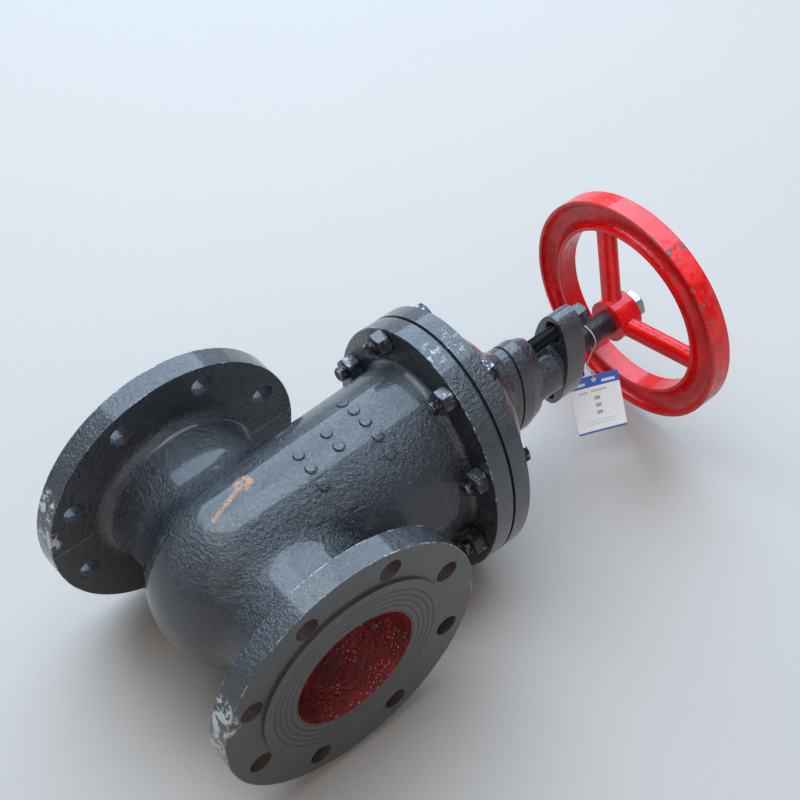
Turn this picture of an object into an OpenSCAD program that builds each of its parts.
// Flanged wedge gate valve with a non-rising stem, lying on its side.
// Millimetres. The origin is where the bore's axis meets the stem's axis.
// +X runs along the bore, +Y along the stem to the handwheel, +Z is up.
// The wedge is drawn fully open, lifted clear of the bore.

/* [Bore and end flanges] */
// Diameter of the flow bore
bore_d = 100; // [80:1:125]
// Length from one raised face to the other
face_to_face = 230; // [200:5:300]
// Outer diameter of each end flange
flange_d = 215; // [190:1:250]
// Thickness of each end flange with its raised face
flange_t = 20; // [14:1:30]
// Diameter of the raised face
raised_d = 156; // [130:1:180]
// Height of the raised face
raised_h = 2; // [1:0.5:4]
// Diameter of the end flange's bolt circle
bolt_circle_d = 180; // [160:1:210]
// Number of bolt holes in each end flange
bolt_count = 8; // [4:4:12]
// Diameter of each end flange bolt hole
bolt_hole_d = 18; // [14:0.5:22]

/* [Body casting] */
// Outer diameter of the two pipe necks
neck_d = 120; // [110:1:140]
// Half width of the oval chamber along X, at its lower end
chamber_x = 60; // [50:1:75]
// Half width of the oval chamber along Z, at its lower end
chamber_z = 78; // [65:1:95]
// How far the rounded lower end reaches below its centre
chamber_dome = 64; // [50:1:80]
// Y of the centre of the rounded lower end
chamber_y = -17; // [-30:1:0]
// Wall thickness of the castings
wall = 9.5; // [6:0.5:14]

/* [Bonnet joint] */
// Y of the body side of the joint
joint_y = 168.5; // [150:0.5:200]
// Half width of the joint flanges along X
joint_x = 89; // [70:1:110]
// Half width of the joint flanges along Z
joint_z = 115.5; // [90:0.5:140]
// Thickness of the body's joint flange
joint_body_t = 15.2; // [10:0.1:25]
// Thickness of the bonnet's joint flange
joint_bonnet_t = 14; // [10:0.5:25]
// Thickness of the joint gasket
joint_gasket_t = 2.5; // [1:0.5:4]

/* [Bonnet and stuffing box] */
// Y of the bonnet's upper face
bonnet_top_y = 239; // [220:1:260]
// Half width of the stuffing box foot along X
foot_x = 24.1; // [20:0.1:30]
// Half width of the stuffing box foot along Z
foot_z = 48.6; // [40:0.1:60]
// Height of the stuffing box foot
foot_h = 21; // [15:1:30]
// Outer diameter of the stuffing box barrel
barrel_d = 45; // [40:0.5:60]
// Height of the barrel above the foot
barrel_h = 20; // [10:1:30]
// Diameter of the packing chamber
packing_d = 34; // [28:0.5:44]
// Number of packing rings
packing_count = 4; // [3:1:6]

/* [Gland] */
// Y of the gland flange's lower face
gland_y = 289.5; // [280:0.5:300]
// Thickness of the gland flange
gland_t = 19; // [10:1:25]
// Half width of the gland flange along X
gland_x = 19.5; // [17:0.5:30]
// Half width of the gland flange along Z
gland_z = 48.5; // [40:0.5:60]
// Distance of each gland stud from the stem's axis
stud_z = 32; // [28:1:40]

/* [Stem and handwheel] */
// Stem diameter through the packing
stem_d = 20; // [16:1:28]
// Diameter over the stem's trapezoidal thread
thread_d = 22; // [18:1:30]
// Lift of the wedge from shut to open
lift = 112; // [100:1:130]
// Y of the handwheel hub's lower face
hub_y = 352; // [330:1:380]
// Height of the handwheel hub
hub_h = 21; // [15:1:35]
// Outer diameter of the handwheel hub
hub_d = 35; // [28:1:50]
// Outer diameter of the handwheel
wheel_d = 195; // [160:1:240]
// Inner diameter of the handwheel rim
rim_inner_d = 144; // [110:1:200]
// Height of the handwheel rim
rim_h = 17.3; // [10:0.1:30]
// Y of the rim's lower edge
rim_y = 369.4; // [355:0.1:385]
// Direction of the first spoke in the wheel's plane, degrees from +X towards +Z
spoke_angle = -2; // [-60:1:60]

/* [Tag] */
// Width of the card tag
tag_w = 41; // [25:1:60]
// Height of the card tag
tag_h = 51; // [30:1:90]

/* [Hidden] */
$fn = 96;

// Fastener sizes.
m12_r = 6;
m12_flats = 18;
m12_nut_h = 10.8;
m12_head_h = 7.5;
thread_gap = 0.02;
running_gap = 0.05;

// Heights along the stem.
flange_x = face_to_face / 2 - raised_h;
bonnet_y = joint_y + joint_gasket_t;
bonnet_flange_y = bonnet_y + joint_bonnet_t;
foot_gasket_t = 2;
foot_y = bonnet_top_y + foot_gasket_t;
barrel_y = foot_y + foot_h;
barrel_top_y = barrel_y + barrel_h;
gland_top_y = gland_y + gland_t;
hub_top_y = hub_y + hub_h;
rim_top_y = rim_y + rim_h;

// The collar under the stuffing box carries the stem's thrust.
collar_y = 226;
collar_h = 8;
collar_r = 18;
pocket_r = 20;
pocket_y = 224;
spigot_h = 4.8;

// The eight joint bolts, one quadrant of them as [x, z].
joint_bolts = [[34.5, 94], [70.5, 37]];
joint_hole_r = 6.75;

// The wedge: both faces lean by the same angle, and meet the seats when shut.
face_angle = 5;
face_x = 26;
wedge_r = 60;
seal_gap = 0.1;
seal_out_r = 58;
seal_in_r = 50.5;
seal_t = 5;
seat_out_r = 56.5;
seat_in_r = 50.8;
seat_t = 8;
boss_top = 80;
nut_bottom = 50;
nut_r = 16;
nut_flange_r = 20.5;
nut_flange_h = 6;
stem_end_y = 59;
rail_w = 8;
rail_z = 61.5;

// The stem's square and the thread above it hold the handwheel.
square_w = 14;
stem_tip_r = 7;
stem_tip_y = 386;
wheel_washer_t = 2.5;
wheel_washer_r = 14;
wheel_nut_h = 8;
wheel_nut_flats = 21;

// The tag hangs from the stem on a tie, between the gland and the hub.
tag_t = 0.6;
tag_at = [19.1, 330.4, -66.2];
tag_turn = 57.8;
tag_tilt = -25.8;
tag_roll = -8.6;
tie_r = 0.6;
tie_y = 328;
tie_loop_r = stem_d / 2 + 1.2;
tie_hole_r = 2;
tie_drop = tag_h / 2 - 4;
tie_ring_r = 3.4;
tie_ring_t = 0.8;
tie_ring_z = tie_drop + tie_ring_r;
tie_top = [8.4, tie_y, -8.4];

black_enamel = [0.07, 0.075, 0.085];
machined_grey = [0.33, 0.33, 0.34];
bright_steel = [0.72, 0.73, 0.76];
dark_steel = [0.14, 0.14, 0.15];
brass_yellow = [0.72, 0.56, 0.28];
gasket_black = [0.03, 0.03, 0.03];
packing_grey = [0.2, 0.2, 0.21];
wheel_red = [0.78, 0.05, 0.04];
card_white = [0.93, 0.93, 0.93];

// ---- Shared shapes ----

// Cylinder along +X, from x to x + h.
module round_x(x, h, r) {
  translate([x, 0, 0])
    rotate([0, 90, 0])
      cylinder(h = h, r = r);
}

// Cylinder along +Y, from y to y + h.
module round_y(y, h, r) {
  translate([0, y, 0])
    rotate([-90, 0, 0])
      cylinder(h = h, r = r);
}

// Oval column along +Y, with half widths rx and rz.
module oval_y(y, h, rx, rz) {
  translate([0, y, 0])
    rotate([-90, 0, 0])
      linear_extrude(h)
        scale([rx, rz])
          circle(r = 1);
}

// Oval column along +Y that grows or shrinks by the factor k.
module oval_cone_y(y, h, rx, rz, k) {
  translate([0, y, 0])
    rotate([-90, 0, 0])
      scale([rx, rz, 1])
        cylinder(h = h, r1 = 1, r2 = k);
}

// Flat washer along +Y.
module ring_y(y, h, r_out, r_in) {
  difference() {
    round_y(y, h, r_out);
    round_y(y - 1, h + 2, r_in);
  }
}

// Hexagon prism along +Y, with its corners along Z.
module hex_y(y, h, flats) {
  translate([0, y, 0])
    rotate([-90, 90, 0])
      cylinder(h = h, d = flats / cos(30), $fn = 6);
}

// Hexagon nut on a screw of radius r.
module nut_y(y, h, flats, r) {
  difference() {
    hex_y(y, h, flats);
    round_y(y - 1, h + 2, r + thread_gap);
  }
}

// Put the children at all eight joint bolts.
module at_joint_bolts() {
  for (p = joint_bolts, sx = [-1, 1], sz = [-1, 1])
    translate([sx * p[0], 0, sz * p[1]])
      children();
}

// Put the children on a seat face: local X = 0 is the face, +X points out along the bore.
module on_seat(side) {
  mirror([side < 0 ? 1 : 0, 0, 0])
    translate([face_x, 0, 0])
      rotate([0, 0, -face_angle])
        children();
}

// ---- Body and its seats ----

module end_flange(side) {
  back_x = face_to_face / 2 - flange_t;
  fillet = 11;
  mirror([side < 0 ? 1 : 0, 0, 0]) {
    round_x(back_x, flange_t - raised_h, flange_d / 2);
    round_x(flange_x - 1, raised_h + 1, raised_d / 2);
    round_x(40, back_x - 35, neck_d / 2);
    // Hollow curve from the neck to the flange's back.
    translate([back_x, 0, 0])
      rotate([0, -90, 0])
        rotate_extrude()
          difference() {
            translate([neck_d / 2 - 5, -3])
              square([fillet + 5, fillet + 3]);
            translate([neck_d / 2 + fillet, fillet])
              circle(r = fillet);
          }
  }
}

// Oval chamber: a round lower end of depth r under a straight column that opens by the factor k.
module chamber(rx, rz, r, top, k) {
  h = top - chamber_y;
  translate([0, chamber_y, 0])
    rotate([-90, 0, 0])
      scale([rx / r, rz / r, 1])
        rotate_extrude() {
          intersection() {
            circle(r = r);
            translate([0, -r])
              square([r, r]);
          }
          polygon([[0, -1], [r * 0.99, -1], [r, 0], [r * k, h], [0, h]]);
        }
}

module body_outside() {
  top = joint_y - joint_body_t;
  chamber(chamber_x, chamber_z, chamber_dome, top + 5, 1.077);
  oval_y(top, joint_body_t, joint_x, joint_z);
  for (side = [-1, 1])
    end_flange(side);
}

module body_chamber() {
  chamber(chamber_x - wall, chamber_z - wall, chamber_dome - wall, joint_y + 5, 1.07);
}

module seat_barrel(side) {
  depth = 1.5;
  difference() {
    mirror([side < 0 ? 1 : 0, 0, 0])
      round_x(20, 36, seat_out_r + 2.5);
    on_seat(side)
      translate([depth - 40, -100, -100])
        cube([40, 200, 200]);
  }
}

module body() {
  color(black_enamel)
    difference() {
      union() {
        difference() {
          body_outside();
          body_chamber();
        }
        for (side = [-1, 1])
          seat_barrel(side);
        // Guide rails for the wedge, on the chamber's two narrow ends.
        for (s = [-1, 1])
          translate([-rail_w / 2, -15, s > 0 ? rail_z : -rail_z - 12.5])
            cube([rail_w, 165, 12.5]);
      }
      round_x(-face_to_face, 2 * face_to_face, bore_d / 2);
      for (side = [-1, 1])
        on_seat(side)
          round_x(0, seat_t + running_gap, seat_out_r + thread_gap);
      for (k = [0 : bolt_count - 1])
        rotate([(k + 0.5) * 360 / bolt_count, 0, 0])
          translate([0, bolt_circle_d / 2, 0])
            for (x = [-130, 60])
              round_x(x, 70, bolt_hole_d / 2);
      at_joint_bolts()
        round_y(joint_y - 30, 40, joint_hole_r);
    }
}

module seat_ring(side) {
  color(brass_yellow)
    on_seat(side)
      difference() {
        round_x(0, seat_t, seat_out_r);
        round_x(-1, seat_t + 2, seat_in_r);
      }
}

module seat_ring_inlet() {
  seat_ring(-1);
}

module seat_ring_outlet() {
  seat_ring(1);
}

// ---- Bonnet and its joint ----

module joint_gasket() {
  inset = 2.4;
  color(gasket_black)
    difference() {
      oval_y(joint_y, joint_gasket_t, joint_x - inset, joint_z - inset);
      oval_y(joint_y - 1, joint_gasket_t + 2, 54.5, 75);
      at_joint_bolts()
        round_y(joint_y - 1, joint_gasket_t + 2, joint_hole_r);
    }
}

// Oval dome of height r on a short oval column that reaches down by h.
module dome(y, rx, rz, r, h) {
  translate([0, y, 0])
    rotate([-90, 0, 0])
      scale([rx / r, rz / r, 1])
        rotate_extrude() {
          intersection() {
            circle(r = r);
            square([r, r]);
          }
          translate([0, -h])
            square([r, h]);
        }
}

// Oval neck that narrows from k times the foot's size to the foot itself.
module bonnet_neck(y, h, k) {
  r = 30;
  translate([0, y, 0])
    rotate([-90, 0, 0])
      scale([foot_x / r, foot_z / r, 1])
        rotate_extrude()
          polygon([[0, 0], [r * k, 0], [r, h], [r, bonnet_top_y - y], [0, bonnet_top_y - y]]);
}

module bonnet() {
  color(black_enamel)
    difference() {
      union() {
        oval_y(bonnet_y, joint_bonnet_t, joint_x, joint_z);
        dome(bonnet_flange_y, 64, 92, 44, 4);
        bonnet_neck(214, 18, 1.28);
      }
      dome(bonnet_y + 12, 50, 73.5, 22, 13);
      round_y(bonnet_y, 100, thread_d / 2 + running_gap);
      round_y(pocket_y, 30, pocket_r);
      at_joint_bolts()
        round_y(bonnet_y - 1, 60, joint_hole_r);
      for (s = [-1, 1])
        translate([0, 0, s * stud_z])
          round_y(pocket_y, 30, m12_r + thread_gap);
    }
}

module joint_bolts_set() {
  under_head = bonnet_flange_y;
  tip_y = joint_y - joint_body_t - m12_nut_h - 6;
  color(dark_steel)
    at_joint_bolts() {
      round_y(tip_y, under_head + 1 - tip_y, m12_r);
      hex_y(under_head, m12_head_h, m12_flats);
    }
}

module joint_nuts_set() {
  color(dark_steel)
    at_joint_bolts()
      nut_y(joint_y - joint_body_t - m12_nut_h, m12_nut_h, m12_flats, m12_r);
}

// ---- Stuffing box and gland ----

module foot_gasket() {
  color(gasket_black)
    difference() {
      oval_y(bonnet_top_y, foot_gasket_t, foot_x - 1, foot_z - 1);
      round_y(bonnet_top_y - 1, foot_gasket_t + 2, pocket_r + 0.4);
      for (s = [-1, 1])
        translate([0, 0, s * stud_z])
          round_y(bonnet_top_y - 1, foot_gasket_t + 2, joint_hole_r);
    }
}

module stuffing_box() {
  floor_h = 10;
  shoulder = 11;
  color(black_enamel)
    difference() {
      union() {
        oval_y(foot_y, foot_h - shoulder, foot_x, foot_z);
        oval_cone_y(foot_y + foot_h - shoulder, shoulder, foot_x, foot_z, 0.9);
        round_y(foot_y + 2, barrel_top_y - foot_y - 2, barrel_d / 2);
        round_y(foot_y - spigot_h, spigot_h + 2, pocket_r - 0.1);
      }
      round_y(foot_y - 20, 60, stem_d / 2 + running_gap);
      round_y(foot_y + floor_h, 60, packing_d / 2);
      for (s = [-1, 1])
        translate([0, 0, s * stud_z])
          round_y(foot_y - 1, 60, joint_hole_r);
    }
}

module thrust_washer(y) {
  ring_y(y, 1.9, pocket_r - 0.2, thread_d / 2 + 0.2);
}

module thrust_washer_lower() {
  color(brass_yellow)
    thrust_washer(pocket_y);
}

module thrust_washer_upper() {
  color(brass_yellow)
    thrust_washer(collar_y + collar_h + 0.1);
}

module packing_rings() {
  first_y = foot_y + 10;
  depth = 24;
  pitch = depth / packing_count;
  color(packing_grey)
    for (k = [0 : packing_count - 1])
      ring_y(first_y + k * pitch, pitch - 0.05, packing_d / 2 - 0.03, stem_d / 2 + running_gap);
}

module gland() {
  spigot_y = foot_y + 34;
  slot_r = 7.5;
  color(black_enamel)
    difference() {
      union() {
        oval_y(gland_y, gland_t, gland_x, gland_z);
        round_y(spigot_y, gland_y + 2 - spigot_y, packing_d / 2 - 0.1);
      }
      round_y(spigot_y - 1, 60, stem_d / 2 + 0.4);
      // Slotted eyes for the two studs.
      for (s = [-1, 1], dz = [-1, 4])
        translate([0, 0, s * (stud_z + dz)])
          round_y(gland_y - 1, gland_t + 2, slot_r);
      for (s = [-1, 1])
        translate([-slot_r, gland_y - 1, s * (stud_z + 1.5) - 2.5])
          cube([2 * slot_r, gland_t + 2, 5]);
    }
}

module gland_stud(s) {
  stud_y = pocket_y + 1.5;
  tip_y = gland_top_y + 2 + m12_nut_h + 3;
  color(dark_steel)
    translate([0, 0, s * stud_z])
      round_y(stud_y, tip_y - stud_y, m12_r);
}

module gland_stud_upper() {
  gland_stud(1);
}

module gland_stud_lower() {
  gland_stud(-1);
}

module gland_washer(s) {
  color(dark_steel)
    translate([0, 0, s * stud_z])
      ring_y(gland_top_y, 2, 12, m12_r + 0.4);
}

module gland_washer_upper() {
  gland_washer(1);
}

module gland_washer_lower() {
  gland_washer(-1);
}

module gland_nut(s) {
  color(dark_steel)
    translate([0, 0, s * stud_z])
      nut_y(gland_top_y + 2, m12_nut_h, m12_flats, m12_r);
}

module gland_nut_upper() {
  gland_nut(1);
}

module gland_nut_lower() {
  gland_nut(-1);
}

// ---- Wedge, drawn lifted by the full lift ----

module lifted() {
  translate([0, lift, 0])
    children();
}

module wedge_blank() {
  recess = 2.2;
  difference() {
    round_x(-40, 80, wedge_r);
    for (side = [-1, 1])
      on_seat(side)
        translate([-recess, -100, -100])
          cube([60, 200, 200]);
  }
  round_y(35, boss_top - 35, 22);
  // Lugs that ride on the guide rails.
  for (s = [-1, 1])
    translate([-10, -20, s > 0 ? 53 : -66])
      cube([20, 44, 13]);
}

module wedge() {
  color(black_enamel)
    lifted()
      difference() {
        wedge_blank();
        round_y(5 - wedge_r, 120, thread_d / 2 + 1.5);
        round_y(nut_bottom, 60, nut_r + thread_gap);
        for (side = [-1, 1])
          on_seat(side)
            difference() {
              round_x(-seal_gap - seal_t - thread_gap, 30, seal_out_r + thread_gap);
              round_x(-seal_gap - seal_t - 5, 60, seal_in_r - thread_gap);
            }
        for (s = [-1, 1])
          translate([-rail_w / 2 - 0.5, -21, s > 0 ? 61 : -67])
            cube([rail_w + 1, 46, 6]);
      }
}

module wedge_seal(side) {
  color(brass_yellow)
    lifted()
      on_seat(side)
        difference() {
          round_x(-seal_gap - seal_t, seal_t, seal_out_r);
          round_x(-seal_gap - seal_t - 1, seal_t + 2, seal_in_r);
        }
}

module wedge_seal_inlet() {
  wedge_seal(-1);
}

module wedge_seal_outlet() {
  wedge_seal(1);
}

module stem_nut() {
  color(brass_yellow)
    lifted()
      difference() {
        union() {
          round_y(nut_bottom, boss_top - nut_bottom + 1, nut_r);
          round_y(boss_top, nut_flange_h, nut_flange_r);
        }
        round_y(nut_bottom - 1, 60, thread_d / 2 + running_gap);
      }
}

// ---- Stem and handwheel ----

module stem() {
  color(dark_steel) {
    round_y(stem_end_y, collar_y + 1 - stem_end_y, thread_d / 2);
    round_y(collar_y, collar_h, collar_r);
    round_y(collar_y + 1, hub_y - collar_y - 1, stem_d / 2);
    translate([-square_w / 2, hub_y - 1, -square_w / 2])
      cube([square_w, hub_h + 1, square_w]);
    round_y(hub_top_y - 1, stem_tip_y - hub_top_y + 1, stem_tip_r);
  }
}

module rim() {
  groove_r = 10;
  middle_r = (wheel_d + rim_inner_d) / 4;
  translate([0, rim_y, 0])
    rotate([-90, 0, 0])
      rotate_extrude()
        difference() {
          translate([rim_inner_d / 2, 0])
            square([(wheel_d - rim_inner_d) / 2, rim_h]);
          translate([middle_r, -0.5])
            circle(r = groove_r);
        }
}

// One oval spoke that slopes up from the hub to the rim.
module spoke() {
  half = 6.5;
  spread = 2.2;
  hub_end = [10, hub_y + 9];
  rim_end = [rim_inner_d / 2 + 2.2, rim_y + 8];
  run = rim_end - hub_end;
  slope = atan2(run[1], run[0]);
  translate([hub_end[0], hub_end[1], 0])
    rotate([0, 0, slope]) {
      for (s = [-1, 1])
        translate([0, 0, s * spread])
          round_x(0, norm(run), half);
      translate([0, -half, -spread])
        cube([norm(run), 2 * half, 2 * spread]);
    }
}

module handwheel() {
  hole_w = square_w + 0.1;
  color(wheel_red)
    difference() {
      union() {
        round_y(hub_y, hub_h, hub_d / 2);
        rim();
        for (k = [0 : 2])
          rotate([0, -spoke_angle - 120 * k, 0])
            spoke();
      }
      translate([-hole_w / 2, hub_y - 1, -hole_w / 2])
        cube([hole_w, hub_h + 2, hole_w]);
    }
}

module wheel_washer() {
  color(bright_steel)
    ring_y(hub_top_y, wheel_washer_t, wheel_washer_r, stem_tip_r + 0.2);
}

module wheel_nut() {
  color(bright_steel)
    nut_y(hub_top_y + wheel_washer_t, wheel_nut_h, wheel_nut_flats, stem_tip_r);
}

// ---- Tag ----

module on_tag() {
  translate(tag_at)
    rotate([0, 0, tag_turn])
      rotate([tag_tilt, 0, 0])
        rotate([0, tag_roll, 0])
          children();
}

module tag_card() {
  color(card_white)
    on_tag()
      difference() {
        cube([tag_w, tag_t, tag_h], center = true);
        translate([0, 5, tie_drop])
          rotate([90, 0, 0])
            cylinder(h = 10, r = tie_hole_r);
      }
}

// The tie: a loop round the stem, a strand, and a small loop through the card's hole.
module tag_tie() {
  side = sin(tag_roll);
  rise = cos(tag_tilt) * cos(tag_roll);
  lean = -sin(tag_tilt) * cos(tag_roll);
  up = [
    side * cos(tag_turn) - lean * sin(tag_turn),
    side * sin(tag_turn) + lean * cos(tag_turn),
    rise
  ];
  run = tag_at + up * (tie_ring_z + tie_ring_r) - tie_top;
  color(card_white) {
    translate([0, tie_y, 0])
      rotate([-90, 0, 0])
        rotate_extrude()
          translate([tie_loop_r, 0])
            circle(r = tie_r);
    translate(tie_top)
      rotate([0, acos(run[2] / norm(run)), atan2(run[1], run[0])])
        cylinder(h = norm(run), r = tie_r);
    on_tag()
      translate([0, 0, tie_ring_z])
        rotate([0, 90, 0])
          rotate_extrude()
            translate([tie_ring_r, 0])
              circle(r = tie_ring_t);
  }
}

body();
seat_ring_inlet();
seat_ring_outlet();
joint_gasket();
bonnet();
joint_bolts_set();
joint_nuts_set();
foot_gasket();
stuffing_box();
thrust_washer_lower();
thrust_washer_upper();
packing_rings();
gland();
gland_stud_upper();
gland_stud_lower();
gland_washer_upper();
gland_washer_lower();
gland_nut_upper();
gland_nut_lower();
wedge();
wedge_seal_inlet();
wedge_seal_outlet();
stem_nut();
stem();
handwheel();
wheel_washer();
wheel_nut();
tag_card();
tag_tie();
